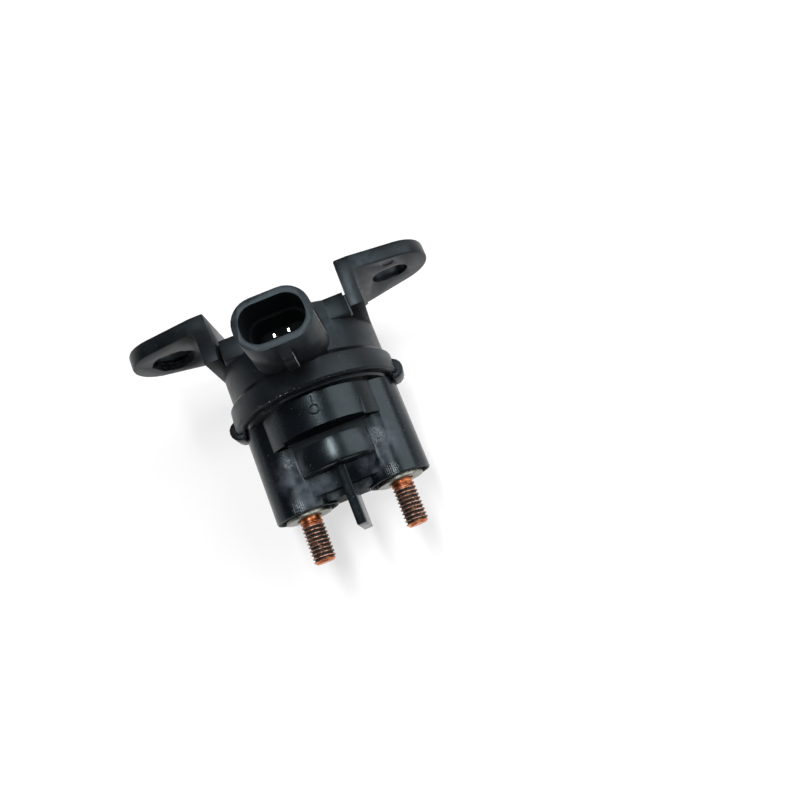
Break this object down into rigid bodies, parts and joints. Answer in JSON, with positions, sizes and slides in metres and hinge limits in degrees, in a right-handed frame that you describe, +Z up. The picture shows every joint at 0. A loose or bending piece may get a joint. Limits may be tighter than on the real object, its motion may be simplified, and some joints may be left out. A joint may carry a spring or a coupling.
{
  "type": "starter relay",
  "caption": "Sealed starter relay: round moulded body on mounting ears, connector tower on top, threaded copper studs at the end and a coil, plunger and contact disc inside.",
  "frame": {"origin": "on the mounting plane at the backs of the ears, midway between the two bolt holes", "axes": "+X from the left ear to the right ear, +Y out of the back into the wall it is bolted to, +Z up along the connector tower; the studs point along -Y"},
  "size_m": [0.08, 0.0651, 0.0612],
  "materials": {
    "cover_plastic": "moulded glass-filled nylon, black, worn",
    "housing_plastic": "moulded glass-filled nylon, black, semi-gloss",
    "copper": "bare copper, darkened in the thread",
    "washer_steel": "zinc plated steel, dull",
    "tin_plate": "tin plated contact",
    "coil_wire": "enamelled copper wire",
    "bobbin_plastic": "natural nylon",
    "soft_iron": "turned soft iron",
    "brass": "drawn brass tube",
    "spring_steel": "spring wire",
    "rubber": "nitrile rubber"
  },
  "bodies": {
    "relay_body": {"cover": "cover_plastic", "terminal_housing": "housing_plastic", "seal_ring": "rubber", "left_stud": "copper", "right_stud": "copper", "left_stud_seal": "rubber", "right_stud_seal": "rubber", "left_washer": "washer_steel", "right_washer": "washer_steel", "left_pin": "tin_plate", "right_pin": "tin_plate", "left_coil_lead": "coil_wire", "right_coil_lead": "coil_wire", "winding": "coil_wire", "bobbin": "bobbin_plastic", "yoke": "soft_iron", "pole_plate": "soft_iron", "fixed_core": "soft_iron", "guide_sleeve": "brass", "return_spring": "spring_steel"},
    "armature": {"plunger": "soft_iron", "push_rod": "washer_steel", "retaining_clip": "washer_steel", "spring_seat": "washer_steel"},
    "moving_contact": {"contact_disc": "copper", "insulating_bush": "bobbin_plastic", "insulating_washer": "bobbin_plastic", "contact_spring": "spring_steel"}
  },
  "joints": [
    {"name": "plunger_slide", "type": "slide", "parent": "relay_body", "child": "armature", "axis": [0, -1, 0], "range_m": [0, 0.003], "stiffness_N_per_m": 600, "springref_m": -0.006, "deforming": ["return_spring", "contact_spring"]},
    {"name": "contact_slide", "type": "slide", "parent": "relay_body", "child": "moving_contact", "axis": [0, -1, 0], "range_m": [0, 0.0026]}
  ],
  "couplings": [
    {"joint": "contact_slide", "follows": "plunger_slide", "ratio": 0.8666}
  ]
}
